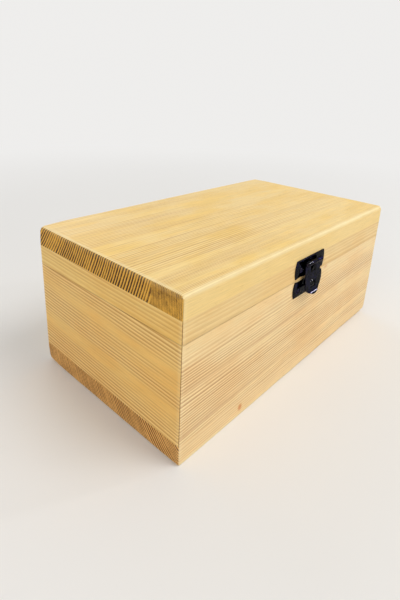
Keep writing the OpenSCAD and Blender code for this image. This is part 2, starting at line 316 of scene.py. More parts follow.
@dataclass(frozen=True)
class Pine:
    """Clear-finished planed pine, cut from a log as the fields say.

    The pith is a point in the plane across the grain: depth and height for a
    board that runs longways, length and height for one that runs across.
    """
    name: str
    grain: Grain
    pith: Pair
    ring: float
    seed: float
    pale: tuple[float, ...] = shade(243, 211, 148)
    warm: tuple[float, ...] = shade(240, 194, 112)
    deep: tuple[float, ...] = shade(186, 128, 72)
    end_pale: tuple[float, ...] = shade(232, 180, 84)
    end_deep: tuple[float, ...] = shade(84, 46, 6)
    # Pale early wood; also the painted highlight mixed onto the arrises.
    cream_and_highlight: tuple[float, ...] = shade(252, 236, 188)
    # Dark glue line of the mitres; also painted shade in the lid seam.
    joint_line_and_seam_shade: tuple[float, ...] = shade(116, 70, 24)
    resin: tuple[float, ...] = shade(206, 118, 48)
    contrast: float = 0.9
    uneven: float = 2.4
    lots: float = 0.5
    edge_lines: float = 0.6
    fade: Pair | None = None
    end_contrast: float = 1.0
    wave: float = 0.5
    slope: float = 0.0
    calm: Triple | None = None
    rings: tuple[DarkRing, ...] = ()
    flecks: tuple[Fleck, ...] = ()
    lamella: Lamella | None = None
    mitred: bool = True

    DRIFT = Layer(0.011, 0.05, detail=2.0, rough=0.5)
    BLOTCH = Layer(0.024, 0.06, shift=-1.0)
    FIBRE = Layer(0.03, 1.0, 2.4, 4.0, 0.65)
    STREAK = Layer(0.012, 1.0, 0.5)
    PORES = Layer(0.07, 1.0, 3.4, 1.0, 0.5)
    LATE_RISE = (0.25, 0.80)
    LATE_FALL = (1.0, 0.90)
    END_FACE = (0.45, 0.8)
    FLECK_DEPTH = (8.0, 3.0)
    RUBBED_AND_HIGHLIT = (2.6, 0.5)
    MITRE_LINE = (0.34, 0.08)
    SEAM_LINE = (0.42, 0.14)
    SEAM_REACH = (125.0, 45.0)

    def material(self) -> bpy.types.Material:
        """Make the finish.

        Returns:
            The material.
        """
        made, wiring, at, normal = started(self.name)
        x, y, z = wiring.parts(at)
        facing = wiring.parts(normal)
        along, side = (x, y) if self.grain is Grain.LONGWAYS else (y, x)
        end = abs(facing[self.grain.value]).step(*self.END_FACE)
        spot = Spot(wiring, (x, y, z), along, side, end, abs(facing[2]))
        fibre = self.noise(spot, self.FIBRE)
        speck = wiring.noise(at, 2.6, 3.0, 0.65)

        turn = self.ring_count(spot)
        part = turn.fract()
        late = part.step(*self.LATE_RISE) * part.step(*self.LATE_FALL)
        lot = wiring.value("ShaderNodeTexWhiteNoise", {"noise_dimensions": "1D"},
                           {"W": turn.floor() + self.seed})
        thick = wiring.noise(wiring.vector(along * 0.008, turn * 0.16, self.seed), 1.0, 2.0)
        line = self.lines(spot, turn, late * (1.0 - self.lots + self.lots * lot) * thick.step(0.28, 0.58))

        blotch = self.noise(spot, self.BLOTCH)
        streak = self.noise(spot, self.STREAK)
        tone = self.planed(spot, part, line, thick, blotch, streak)
        for fleck in self.flecks:
            away = (((x - fleck.x) / fleck.radii[0]) ** 2 + ((z - fleck.z) / fleck.radii[1]) ** 2) ** 0.5
            seen = (away + speck * 0.8).step(1.7, 0.7) * (y + HALF_DEPTH).step(*self.FLECK_DEPTH)
            tone = wiring.mix(seen * fleck.strength, tone, self.resin)
        tone = wiring.mix(0.3, tone, fibre.step(0.3, 0.7) * 0.5 + 0.75, "MULTIPLY")
        tone = wiring.mix(self.noise(spot, self.PORES).step(0.68, 0.75) * 0.4, tone, self.deep)

        mottle = (speck - 0.5) * 0.7 + (streak - 0.5) * 0.6 + (blotch - 0.5) * 0.9
        tone = wiring.mix(end, tone, self.sawn(spot, part, lot, mottle))
        tone = self.worn(spot, tone)

        height = line * 0.35 + fibre * 0.3 + end * (late * 0.4 + speck * 0.5)
        bump = wiring.node("ShaderNodeBump", None, {"Strength": 0.3, "Distance": 0.12 * MM, "Height": height})
        shine = wiring.node("ShaderNodeBsdfPrincipled", None, {
            "Base Color": tone,
            "Roughness": 0.38 + 0.14 * fibre + 0.2 * end,
            "Specular IOR Level": 0.22,
            "Coat Weight": 0.06,
            "Coat Roughness": 0.2,
            "Normal": bump.outputs[0],
        })
        wiring.node("ShaderNodeOutputMaterial", None, {"Surface": shine.outputs[0]})
        return made

    def noise(self, spot: Spot, layer: Layer, output: Socket = 0) -> Value:
        """Read a layer of noise.

        Args:
            spot: the place.
            layer: the layer.
            output: the output of its node.

        Returns:
            The noise.
        """
        at = spot.wiring.vector(spot.along * layer.along + self.seed * layer.shift,
                                spot.side * layer.across, spot.place[2] * layer.across)
        return spot.wiring.noise(at, layer.scale, layer.detail, layer.rough, output)

    def ring_count(self, spot: Spot) -> Value:
        """Number of growth rings out from the pith.

        Args:
            spot: the place.

        Returns:
            The ring number with its fraction.
        """
        drift = spot.wiring.parts(self.noise(spot, self.DRIFT, "Color"))
        across = spot.side - self.pith[0] + (drift[0] - 0.5) * (2 * self.wave)
        up = spot.place[2] - self.pith[1] + spot.along * self.slope + (drift[1] - 0.5) * (4 * self.wave)
        reach = (across * across + up * up) ** 0.5
        uneven = spot.wiring.noise(spot.wiring.vector(reach * 0.11, self.seed, 0.0), 1.0, 2.0) - 0.5
        turn = reach / self.ring + uneven * self.uneven
        if self.lamella:
            inside = spot.side < self.lamella.edge
            turn = turn + inside * (spot.side / self.lamella.ring + self.lamella.shift - turn)
        return turn

    def lines(self, spot: Spot, turn: Value, line: Value) -> Value:
        """Calm the ring lines where they fade, and add the rings that stand out.

        Args:
            spot: the place.
            turn: ring number.
            line: strength of the plain rings.

        Returns:
            Strength of all the rings.
        """
        if self.calm:
            low, high, left = self.calm
            line = line * (left + (1.0 - left) * spot.place[2].step(high, low))
        for ring in self.rings:
            reach = math.hypot(ring.across - self.pith[0], ring.up - self.pith[1])
            at = spot.wiring.vector(spot.along * 0.02 + ring.up + ring.across, 0.0, self.seed)
            strength = (0.45 + 0.55 * spot.wiring.noise(at, 1.0, 1.0).step(0.3, 0.6)) * ring.strength
            line = line.most(turn.band(reach / self.ring, 0.5 / self.ring) * strength)
        if self.fade:
            line = line * (1.0 - 0.6 * spot.along.step(*self.fade))
        return line

    def planed(self, spot: Spot, part: Value, line: Value, thick: Value, blotch: Value,
               streak: Value) -> Value:
        """Colour of the planed faces.

        Args:
            spot: the place.
            part: how far through its ring the place is, from 0 to 1.
            line: strength of the rings.
            thick: how far the rings show here.
            blotch: noise of the broad patches.
            streak: noise of the streaks.

        Returns:
            The colour.
        """
        mix = spot.wiring.mix
        broad = 1.0 if self.mitred else spot.level
        patchy = 0.25 + 0.75 * broad
        tone = mix(blotch.step(0.36, 0.66) * 0.8 * patchy, self.pale, self.warm)
        tone = mix(streak.step(0.45, 0.75) * 0.25 * patchy, tone, self.warm)
        early = part.step(0.0, 0.1) * part.step(0.45, 0.2) * thick.step(0.3, 0.6)
        tone = mix(early * (0.4 * self.contrast), tone, self.cream_and_highlight)
        shown = self.edge_lines + (1.0 - self.edge_lines) * broad
        return mix(line * shown * self.contrast, tone, self.deep)

    def sawn(self, spot: Spot, part: Value, lot: Value, mottle: Value) -> Value:
        """Colour of the end grain.

        Args:
            spot: the place.
            part: how far through its ring the place is, from 0 to 1.
            lot: a random number for each ring.
            mottle: noise that breaks the rings up.

        Returns:
            The colour.
        """
        cut = part.step(0.1, 0.7) * part.step(1.0, 0.88) * (0.65 + 0.35 * lot)
        if self.lamella:
            inside = spot.side < self.lamella.edge
            cut = cut + inside * (0.36 + cut * 0.3 - cut)
        cut = 0.5 + (cut - 0.5 + mottle) * self.end_contrast
        return spot.wiring.mix(cut, self.end_pale, self.end_deep)

    def worn(self, spot: Spot, tone: Value) -> Value:
        """Pale the outer edges, as wear and as a painted highlight on the arrises, and darken the joints,
        with painted shade in the lid seam.

        Args:
            spot: the place.
            tone: the wood's colour.

        Returns:
            The colour with edges and joints.
        """
        x, y, z = spot.place
        from_end, from_front = HALF_LENGTH - abs(x), HALF_DEPTH - abs(y)
        near_x, near_y = from_end.step(*self.RUBBED_AND_HIGHLIT), from_front.step(*self.RUBBED_AND_HIGHLIT)
        near_z = z.least(HEIGHT - z).step(*self.RUBBED_AND_HIGHLIT)
        # Painted highlight: the outer arrises are mixed towards cream, partly as wear and partly as the
        # highlight a rounded edge catches.
        rubbed_and_highlit = (near_x * near_y * 0.3).most(near_y * near_z).most(near_x * near_z * 0.7)
        uneven = spot.wiring.noise(spot.wiring.vector(x * 0.12, y * 0.12, z * 0.12 + self.seed), 1.0, 3.0)
        share = rubbed_and_highlit * (0.25 + 0.75 * uneven) * (0.85 - 0.65 * spot.end)
        tone = spot.wiring.mix(share, tone, self.cream_and_highlight)
        if not self.mitred:
            return tone
        joint = abs(from_end - from_front).step(*self.MITRE_LINE) * 0.6
        # Painted shade: the seam between lid and body is darkened as the shade in its gap, partly a stain of
        # finish, most near the front left corner.
        near_end = (x + y + (HALF_LENGTH + HALF_DEPTH)).step(*self.SEAM_REACH)
        gap = abs(z - SEAM).step(*self.SEAM_LINE) * (0.15 + 0.27 * near_end)
        gap = gap * (0.6 + 0.4 * uneven.step(0.35, 0.6)) * spot.level.step(0.98, 0.9)
        return spot.wiring.mix(joint.most(gap), tone, self.joint_line_and_seam_shade)


@dataclass(frozen=True)
class DarkSteel:
    """Pressed steel with a glossy black finish, tinted in patches towards a painted violet-blue reflection.
    """
    name: str = "dark_steel"
    ground: tuple[float, ...] = (0.009, 0.006, 0.012, 1.0)
    painted_reflection: tuple[float, ...] = (0.016, 0.014, 0.044, 1.0)
    edge: tuple[float, ...] = (0.24, 0.22, 0.34, 1.0)
    rough: Pair = (0.14, 0.26)

    def material(self) -> bpy.types.Material:
        """Make the finish.

        Returns:
            The material.
        """
        made, wiring, at, _ = started(self.name)
        cloud = wiring.noise(at, 0.35, 3.0, 0.6)
        grit = wiring.noise(at, 5.0, 3.0, 0.6)
        # Painted reflection: noise patches tint the black towards violet-blue, as the reflection of a blue
        # sky.
        tone = wiring.mix(cloud.step(0.35, 0.7), self.ground, self.painted_reflection)
        bump = wiring.node("ShaderNodeBump", None,
                           {"Strength": 0.2, "Distance": 0.04 * MM, "Height": grit + cloud * 2.0})
        low, high = self.rough
        shine = wiring.node("ShaderNodeBsdfPrincipled", None, {
            "Base Color": tone,
            "Metallic": 1.0,
            "Roughness": low + (high - low) * grit.step(0.3, 0.75),
            "Specular Tint": self.edge,
            "Coat Weight": 0.2,
            "Coat Roughness": 0.05,
            "Normal": bump.outputs[0],
        })
        wiring.node("ShaderNodeOutputMaterial", None, {"Surface": shine.outputs[0]})
        return made


# ------------------------------------------------------------------- meshes

def crisp(mesh: bpy.types.Mesh, angle: float = 38.0) -> None:
    """Shade a mesh smooth, with sharp edges where its faces meet steeply.

    Args:
        mesh: the mesh.
        angle: degrees from which an edge is sharp.
    """
    work = bmesh.new()
    work.from_mesh(mesh)
    bmesh.ops.remove_doubles(work, verts=work.verts, dist=WELD)
    bmesh.ops.recalc_face_normals(work, faces=work.faces)
    limit = math.radians(angle)
    for face in work.faces:
        face.smooth = True
    for edge in work.edges:
        edge.smooth = len(edge.link_faces) == 2 and edge.calc_face_angle(0.0) < limit
    work.to_mesh(mesh)
    work.free()


def put(name: str, data: bpy.types.ID) -> bpy.types.Object:
    """Put an object of that name and data in the scene.

    Args:
        name: the object's name.
        data: its mesh, lamp or camera.

    Returns:
        The object.
    """
    made = bpy.data.objects.new(name, data)
    bpy.context.scene.collection.objects.link(made)
    return made


def plain(holder: bpy.types.Object) -> bpy.types.Mesh:
    """Take the finished mesh of an object with modifiers, and remove the object.

    Args:
        holder: the object.

    Returns:
        The mesh, with the modifiers applied.
    """
    graph = bpy.context.evaluated_depsgraph_get()
    mesh = bpy.data.meshes.new_from_object(holder.evaluated_get(graph))
    bpy.data.objects.remove(holder)
    return mesh


def piece(name: str, mesh: bpy.types.Mesh, material: bpy.types.Material, body: str, slot: str,
          *nodes: str) -> None:
    """Put a finished mesh in the scene as a piece of the box.

    Args:
        name: the piece's name.
        mesh: its mesh, in place, in metres.
        material: its finish.
        body: the CAD body it rides on.
        slot: the record's material slot, which is not used.
        nodes: the CAD nodes it stands for.
    """
    mesh.materials.clear()
    mesh.materials.append(material)
    crisp(mesh)
    made = put(name, mesh)
    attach(made, body)
    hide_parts(*nodes)
    LOG.info("%s rides on %s: %d faces", name, body, len(mesh.polygons))


def steel(node: str, mesh: bpy.types.Mesh, finish: bpy.types.Material, body: str) -> None:
    """Put a steel piece in the scene, in place of the CAD node of its name."""
    piece("steel_" + node, mesh, finish, body, "dark_steel", node)


def finished(mesh: bpy.types.Mesh, thick: float = 0.0, bevel: float = 0.0) -> bpy.types.Mesh:
    """Give a sheet its thickness and soft edges.

    Args:
        mesh: the sheet's middle, or a closed solid.
        thick: thickness to add, half on each side, or 0.
        bevel: width of the softened edges, or 0.

    Returns:
        The finished mesh.
    """
    holder = put(mesh.name, mesh)
    if thick:
        wall = holder.modifiers.new("thickness", "SOLIDIFY")
        wall.thickness = thick * MM
        wall.offset = 0.0
        wall.use_even_offset = True
    if bevel:
        edge = holder.modifiers.new("soft_edges", "BEVEL")
        edge.width = bevel * MM
        edge.segments = 3
        edge.limit_method = "ANGLE"
        edge.angle_limit = math.radians(40)
        edge.use_clamp_overlap = True
    return plain(holder)


def mesh_of(name: str, points: Sequence[Sequence[float]], faces: Sequence[Sequence[int]]) -> bpy.types.Mesh:
    """Make a mesh from points in millimetres.

    Args:
        name: the mesh's name.
        points: its points.
        faces: each face as its points' numbers, in order.

    Returns:
        The mesh, in metres.
    """
    mesh = bpy.data.meshes.new(name)
    mesh.from_pydata([tuple(MM * part for part in point) for point in points], [], faces)
    mesh.update()
    return mesh


def in_order(work: bmesh.types.BMesh) -> list[list[int]]:
    """Each face's corners in a fixed order, because filling an outline leaves them in a chance one.

    Args:
        work: the mesh being edited.

    Returns:
        The faces, each from its lowest corner on, as the numbers of their points.
    """
    work.verts.index_update()
    faces = []
    for face in work.faces:
        ring = [corner.index for corner in face.verts]
        start = ring.index(min(ring))
        faces.append(ring[start:] + ring[:start])
    return sorted(faces)


def joined(*meshes: bpy.types.Mesh) -> bpy.types.Mesh:
    """Put several meshes into one.

    Args:
        meshes: the meshes, the first of which gives the name.

    Returns:
        The one mesh.
    """
    work = bmesh.new()
    for mesh in meshes:
        work.from_mesh(mesh)
    result = bpy.data.meshes.new(meshes[0].name)
    work.to_mesh(result)
    work.free()
    return result


def arc(centre: Pair, radius: float, start: float, stop: float, count: int) -> list[Pair]:
    """Points along an arc.

    Args:
        centre: its centre.
        radius: its radius.
        start: first angle in degrees.
        stop: last angle in degrees.
        count: number of steps.

    Returns:
        The points, both ends included.
    """
    turns = [math.radians(start + (stop - start) * step / count) for step in range(count + 1)]
    return [(centre[0] + radius * math.cos(turn), centre[1] + radius * math.sin(turn)) for turn in turns]


def bow(first: Pair, last: Pair, rise: float, count: int) -> list[Pair]:
    """Points along a shallow arc that rises to the left of its chord.

    Args:
        first: where it starts.
        last: where it ends.
        rise: its greatest height over the chord.
        count: number of steps.

    Returns:
        The points without the last one.
    """
    dx, dy = last[0] - first[0], last[1] - first[1]
    size = math.hypot(dx, dy)
    points = []
    for step in range(count):
        share = step / count
        lift = 4 * rise * share * (1 - share)
        points.append((first[0] + dx * share - dy / size * lift, first[1] + dy * share + dx / size * lift))
    return points


def lathe(name: str, side: list[Pair], centre: Triple, around: int = 32) -> bpy.types.Mesh:
    """Turn a pin about an axis along X, alike at both ends.

    Args:
        name: the mesh's name.
        side: distance from the middle and radius, from the end inwards.
        centre: the middle of the pin.
        around: number of steps around.

    Returns:
        The closed mesh.
    """
    profile = [(-place, radius) for place, radius in side] + side[::-1]
    points, faces = [], []
    for place, radius in profile:
        for step in range(around):
            turn = 2 * math.pi * step / around
            y, z = radius * math.cos(turn), radius * math.sin(turn)
            points.append((centre[0] + place, centre[1] + y, centre[2] + z))
    for row in range(len(profile) - 1):
        for step in range(around):
            after = (step + 1) % around
            faces.append((row * around + step, row * around + after,
                          (row + 1) * around + after, (row + 1) * around + step))
    faces.append(tuple(range(around)))
    faces.append(tuple((len(profile) - 1) * around + step for step in reversed(range(around))))
    return mesh_of(name, points, faces)


@dataclass
class RolledSheet:
    """A sheet bent along a path, its width along X.

    The path is a line of depth and height points. The right columns are places
    along X from the middle outwards, and the left ones mirror them. Cells for
    which keep is false are left out, and narrow gives the half width at a row,
    to round the sheet's corners.
    """
    name: str
    path: list[Pair]
    right: list[float]
    keep: Callable[[float, Pair], bool] = lambda x, at: True
    narrow: Callable[[Pair, float], float] = lambda at, wide: wide
    thick: float = 0.5
    bevel: float = 0.1
    centre_x: float = 0.0

    def mesh(self) -> bpy.types.Mesh:
        """Make the sheet.

        Returns:
            The sheet with its thickness and soft edges.
        """
        columns = [-x for x in reversed(self.right)] + [0.0] + self.right
        half, wide = self.right[-1], len(columns)
        points = []
        for row in self.path:
            room = self.narrow(row, half)
            for column in columns:
                points.append((self.centre_x + column * room / half, row[0], row[1]))
        faces = []
        for row in range(len(self.path) - 1):
            middle = tuple((self.path[row][axis] + self.path[row + 1][axis]) / 2 for axis in (0, 1))
            for column in range(wide - 1):
                if self.keep((columns[column] + columns[column + 1]) / 2, middle):
                    start = row * wide + column
                    faces.append((start, start + 1, start + wide + 1, start + wide))
        mesh = mesh_of(self.name, points, faces)
        work = bmesh.new()
        work.from_mesh(mesh)
        bmesh.ops.remove_doubles(work, verts=work.verts, dist=WELD)
        bmesh.ops.dissolve_degenerate(work, edges=work.edges, dist=WELD)
        bmesh.ops.delete(work, geom=[v for v in work.verts if not v.link_faces], context="VERTS")
        work.to_mesh(mesh)
        work.free()
        return finished(mesh, self.thick, self.bevel)


# ------------------------------------------------------------------ the wood

@dataclass(frozen=True)
class Wear:
    """How far each outer edge and corner of the box is worn round."""
    upright: dict[tuple[int, int], float] = field(default_factory=lambda: {
        (-1, -1): 0.9, (1, -1): 1.2, (-1, 1): 1.0, (1, 1): 1.9})
    longways: dict[tuple[int, int], float] = field(default_factory=lambda: {
        (-1, 1): 1.5, (1, 1): 1.8, (-1, -1): 2.5, (1, -1): 2.2})
    across: dict[tuple[int, int], float] = field(default_factory=lambda: {
        (-1, 1): 0.9, (1, 1): 1.3, (-1, -1): 1.1, (1, -1): 1.8})
    corners: dict[tuple[int, int, int], float] = field(default_factory=lambda: {
        (-1, 1, 1): 1.6, (-1, 1, -1): 1.6, (-1, -1, 1): 0.5, (-1, -1, -1): 0.3,
        (1, -1, 1): 0.6, (1, 1, 1): 1.0, (1, -1, -1): 0.8, (1, 1, -1): 1.0})
    half: Triple = (HALF_LENGTH, HALF_DEPTH, HEIGHT / 2)
    spread: float = 6.0
    ripple: float = 0.22
    waves: tuple[Pair, ...] = ((0.075, 1.0), (0.21, 0.5))
    front_foot_taper: float = 0.86

    def radius(self, base: float, at: Sequence[float], sides: tuple[int, int, int]) -> float:
        """Radius of an edge at a place.

        Args:
            base: the edge's plain radius.
            at: the place, from the box's middle.
            sides: the nearest corner, as -1 or 1 along each axis.

        Returns:
            The radius in millimetres.
        """
        gap = math.dist(at, [side * half for side, half in zip(sides, self.half)])
        wobble = sum(share * noise.noise(Vector(at) * pitch) for pitch, share in self.waves)
        return base * (1 + self.ripple * wobble) + self.corners[sides] * math.exp(-(gap / self.spread) ** 2)

    def worn(self, point: Sequence[float]) -> list[float]:
        """Move a point of the sharp block onto the worn one.

        Args:
            point: a point of the block, z from the underside.

        Returns:
            The point with every edge's rounding applied.
        """
        at = [point[0], point[1], point[2] - self.half[2]]
        sides = tuple(1 if part > 0 else -1 for part in at)
        for first, second, edges in ((0, 1, self.upright), (1, 2, self.longways), (0, 2, self.across)):
            edge = sides[first], sides[second]
            base = edges[edge]
            if edges is self.longways and edge == (-1, -1):
                base *= 1 + self.front_foot_taper * at[0] / self.half[0]
            corner = sides[first] * self.half[first], sides[second] * self.half[second]
            at[first], at[second] = rounded((at[first], at[second]), corner, self.radius(base, at, sides))
        return [at[0], at[1], at[2] + self.half[2]]


def rounded(point: Pair, corner: Pair, radius: float, middle: Pair = (0.0, 0.0)) -> Pair:
    """Move a point near a square corner of a section onto its rounding.

    Args:
        point: the point.
        corner: the corner.
        radius: the rounding's radius.
        middle: any point well inside the section.

    Returns:
        The point, moved if both its distances are under the radius.
    """
    signs = [math.copysign(1, corner[axis] - middle[axis]) for axis in (0, 1)]
    deep = [radius - signs[axis] * (corner[axis] - point[axis]) for axis in (0, 1)]
    if min(deep) <= 0:
        return point
    pull = max(deep) / math.hypot(*deep)
    return tuple(corner[axis] - signs[axis] * (radius - deep[axis] * pull) for axis in (0, 1))


class Side(Enum):
    """Where a board is, with the turn that brings the front there."""
    FRONT = 0
    RIGHT = 90
    BACK = 180
    LEFT = 270
    FLAT = -1


@dataclass
class Board:
    """One board of the box, made from a grid that is fine along its edges."""
    node: str
    body: str
    side: Side
    low: float
    high: float
    finish: Pine
    opening: float | None = None
    steps: tuple[float, ...] = (0, .1, .2, .32, .5, .75, 1.0, 1.3, 1.65, 2.05, 2.5, 3.0, 3.6)
    coarse: float = 6.0
    ease: float = 0.22
    wall: float = WALL

    def stations(self, low: float, high: float) -> list[float]:
        """Grid places between two ends, close together near both.

        Args:
            low: the first end.
            high: the last end.

        Returns:
            The places in order.
        """
        inner = low + self.steps[-1], high - self.steps[-1]
        count = max(1, round((inner[1] - inner[0]) / self.coarse))
        middle = [inner[0] + (inner[1] - inner[0]) * step / count for step in range(1, count)]
        return [low + step for step in self.steps] + middle + [high - step for step in reversed(self.steps)]

    def place(self, along: float, deep: float, height: float, length: float) -> Triple:
        """Where a grid place of the board is.

        Args:
            along: place along the board's outer edge, from its middle.
            deep: distance behind its outer face.
            height: height above the underside.
            length: half the length of its outer edge.

        Returns:
            The point in the box.
        """
        for edge in (self.low, self.high):
            if edge == self.opening:
                for face in (0.0, self.wall):
                    deep, height = rounded((deep, height), (face, edge), self.ease,
                                           (self.wall / 2, (self.low + self.high) / 2))
        along *= (length - deep) / length
        half_deep = HALF_DEPTH if length == HALF_LENGTH else HALF_LENGTH
        turn = math.radians(self.side.value)
        x, y = along, deep - half_deep
        return (x * math.cos(turn) - y * math.sin(turn), x * math.sin(turn) + y * math.cos(turn), height)

    def mesh(self, wear: Wear) -> bpy.types.Mesh:
        """Make the board.

        Args:
            wear: the rounding of the box's outer edges.

        Returns:
            The closed mesh.
        """
        length = HALF_DEPTH if self.side in (Side.LEFT, Side.RIGHT) else HALF_LENGTH
        deep = (-HALF_DEPTH, HALF_DEPTH) if self.side is Side.FLAT else (0, self.wall)
        axes = [self.stations(*ends) for ends in ((-length, length), deep, (self.low, self.high))]
        points, index, faces = [], {}, []

        def corner(key: tuple[int, int, int]) -> int:
            """Number of the grid corner, made when it is first met.

            Args:
                key: the corner's place in the grid, along each axis.

            Returns:
                The number of its point.
            """
            if key not in index:
                spot = tuple(axes[axis][key[axis]] for axis in range(3))
                if self.side is not Side.FLAT:
                    spot = self.place(*spot, length)
                index[key] = len(points)
                points.append(wear.worn(spot))
            return index[key]

        for axis in range(3):
            first, second = (axis + 1) % 3, (axis + 2) % 3
            for layer in (0, len(axes[axis]) - 1):
                for i in range(len(axes[first]) - 1):
                    for j in range(len(axes[second]) - 1):
                        ring = []
                        for di, dj in ((0, 0), (1, 0), (1, 1), (0, 1)):
                            key = [0, 0, 0]
                            key[axis], key[first], key[second] = layer, i + di, j + dj
                            ring.append(corner(tuple(key)))
                        faces.append(ring if layer else ring[::-1])
        return mesh_of("wood_" + self.node, points, faces)

    def build(self, wear: Wear) -> None:
        """Make the board and put it in the scene."""
        piece("wood_" + self.node, self.mesh(wear), self.finish.material(), self.body, "pine", self.node)


@dataclass
class Carcass:
    """The ten glued boards: the body's five and the lid's five."""
    base: float = WALL
    lid_top: float = HEIGHT - WALL
    wear: Wear = field(default_factory=Wear)

    def boards(self) -> Iterable[Board]:
        """Each board with the cut of pine it is made from.

        Returns:
            The boards, one by one.
        """
        yield Board("bottom_board", "body", Side.FLAT, 0, self.base, Pine(
            "pine_bottom_board", Grain.LONGWAYS, (-95, 60), 1.25, 3.1, contrast=0.7, mitred=False,
            pale=shade(244, 213, 158), deep=shade(190, 126, 78), end_pale=shade(234, 178, 100),
            end_deep=shade(112, 66, 20), end_contrast=1.8, flecks=(Fleck(-50.5, 5.2, (1.6, 2.0), 0.75),)))
        yield Board("front_wall", "body", Side.FRONT, self.base, SEAM, Pine(
            "pine_front_wall", Grain.LONGWAYS, (-20, 210), 1.45, 7.7, slope=-0.03, wave=0.4, contrast=0.78,
            calm=(44, 53, 0.12), pale=shade(248, 220, 164), warm=shade(242, 202, 140),
            deep=shade(180, 118, 70), lots=0.35, rings=(
                DarkRing(-50, 49.6, 0.35), DarkRing(-50, 38.6, 0.6), DarkRing(-50, 36.9, 0.75),
                DarkRing(-50, 21.2, 0.75), DarkRing(-50, 19.6, 0.8), DarkRing(-50, 18.0, 0.9),
                DarkRing(-50, 16.3, 0.8)),
            flecks=(Fleck(19.0, 55.0, (2.4, 1.0), 0.4),)), SEAM)
        yield Board("back_wall", "body", Side.BACK, self.base, SEAM, Pine(
            "pine_back_wall", Grain.LONGWAYS, (75, -30), 2.3, 11.3, contrast=0.6), SEAM)
        # Its pale and warm tones are darker and more amber than the other walls': partly painted shade and
        # warm reflection on the box's left side.
        yield Board("left_wall", "body", Side.LEFT, self.base, SEAM, Pine(
            "pine_left_wall", Grain.ACROSS, (-60, 230), 1.62, 5.9, contrast=0.7,
            uneven=0.9, lots=0.15, slope=-0.035, pale=shade(241, 198, 115),
            warm=shade(237, 184, 96), deep=shade(178, 122, 58)), SEAM)
        yield Board("right_wall", "body", Side.RIGHT, self.base, SEAM, Pine(
            "pine_right_wall", Grain.ACROSS, (60, -160), 2.0, 13.7, contrast=0.65), SEAM)
        yield Board("lid_top_board", "lid", Side.FLAT, self.lid_top, HEIGHT, Pine(
            "pine_lid_top", Grain.LONGWAYS, (110, 123), 1.45, 2.3, contrast=0.75, wave=0.4,
            pale=shade(246, 215, 145), warm=shade(243, 203, 110), deep=shade(184, 124, 56), mitred=False,
            edge_lines=0.12, fade=(-50, 45),
            end_pale=shade(230, 172, 66), end_deep=shade(68, 34, 0), end_contrast=1.7,
            rings=(DarkRing(-13.6, 76, 0.8), DarkRing(-15.2, 76, 0.9), DarkRing(-17.0, 76, 0.9),
                   DarkRing(-18.8, 76, 0.9), DarkRing(-25.4, 76, 0.8), DarkRing(-27.2, 76, 0.8)),
            lamella=Lamella(-33, 0.85, 0.4)))
        yield Board("lid_front_strip", "lid", Side.FRONT, SEAM, self.lid_top, Pine(
            "pine_lid_front", Grain.LONGWAYS, (-60, 190), 2.2, 17.1, contrast=0.3,
            pale=shade(240, 208, 145), warm=shade(238, 199, 130)), SEAM)
        yield Board("lid_back_strip", "lid", Side.BACK, SEAM, self.lid_top, Pine(
            "pine_lid_back", Grain.LONGWAYS, (60, 170), 2.0, 19.3, contrast=0.5), SEAM)
        # Its pale and warm tones are darker and more amber than the other strips': partly painted shade and
        # warm reflection on the box's left side.
        yield Board("lid_left_strip", "lid", Side.LEFT, SEAM, self.lid_top, Pine(
            "pine_lid_left", Grain.ACROSS, (-70, 220), 2.0, 23.9, contrast=0.4, slope=-0.03,
            pale=shade(241, 202, 117), warm=shade(237, 188, 96)), SEAM)
        yield Board("lid_right_strip", "lid", Side.RIGHT, SEAM, self.lid_top, Pine(
            "pine_lid_right", Grain.ACROSS, (70, -150), 2.1, 29.2, contrast=0.5), SEAM)

    def build(self) -> None:
        """Make every board."""
        for board in self.boards():
            board.build(self.wear)


# -------------------------------------------------------------------- nails

class Facing(Enum):
    """Which side of the box a nail is driven into, as the turn about Z."""
    FRONT = 0.0
    BACK = math.pi


